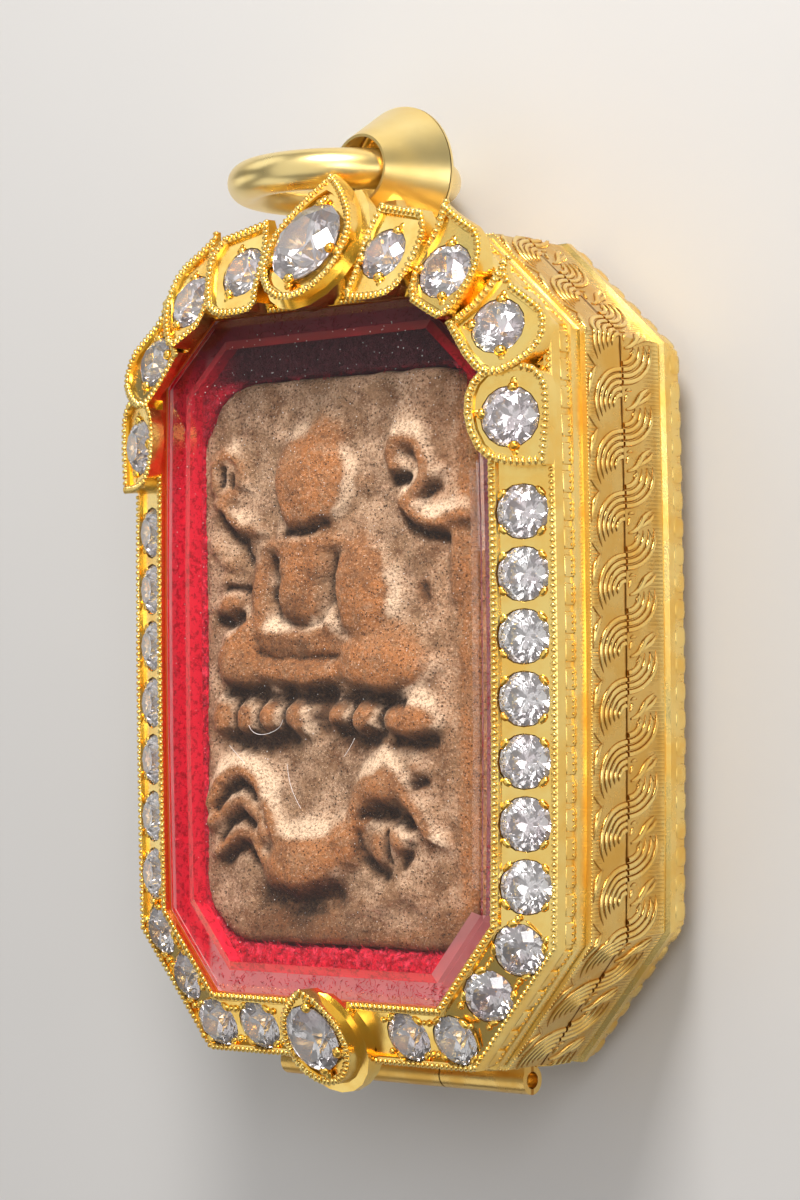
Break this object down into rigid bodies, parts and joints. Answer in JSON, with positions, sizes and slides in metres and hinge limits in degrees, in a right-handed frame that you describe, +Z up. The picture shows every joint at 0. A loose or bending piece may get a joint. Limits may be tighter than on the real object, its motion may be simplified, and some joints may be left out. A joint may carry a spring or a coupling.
{
  "type": "thai buddha amulet pendant",
  "caption": "Gold locket-case pendant with a stone-set bezel, a bail with a heavy ring, and a pressed-clay votive tablet on red felt under a clear cover.",
  "frame": {"origin": "centre of the back plate's flat face", "axes": "+X to the right across the case, +Y towards the bail, +Z up out of the tablet's face, with the pendant lying on its back"},
  "size_m": [0.0314, 0.0539, 0.0159],
  "materials": {
    "gold": "polished and engraved yellow gold",
    "ring_gold": "satin pale yellow gold",
    "stones": "clear brilliant-cut stones",
    "cover": "clear bevelled acrylic",
    "felt": "crimson felt",
    "clay": "unglazed tan terracotta"
  },
  "bodies": {
    "root": {"front_case": "gold", "bezel": "gold", "back_case": "gold", "hinge_pin": "gold", "jump_ring": "ring_gold", "crystal": "cover", "felt_bed": "felt", "tablet": "clay", "stone_right_1": "stones", "stone_right_2": "stones", "stone_right_3": "stones", "stone_right_4": "stones", "stone_right_5": "stones", "stone_right_6": "stones", "stone_right_7": "stones", "stone_corner_right_1": "stones", "stone_corner_right_2": "stones", "stone_bottom_right_1": "stones", "stone_bottom_right_2": "stones", "stone_leaf_right_1": "stones", "stone_leaf_right_2": "stones", "stone_leaf_right_3": "stones", "stone_leaf_right_4": "stones", "stone_left_1": "stones", "stone_left_2": "stones", "stone_left_3": "stones", "stone_left_4": "stones", "stone_left_5": "stones", "stone_left_6": "stones", "stone_left_7": "stones", "stone_corner_left_1": "stones", "stone_corner_left_2": "stones", "stone_bottom_left_1": "stones", "stone_bottom_left_2": "stones", "stone_leaf_left_1": "stones", "stone_leaf_left_2": "stones", "stone_leaf_left_3": "stones", "stone_leaf_left_4": "stones", "stone_pear_top": "stones", "stone_pear_bottom": "stones"}
  },
  "joints": []
}
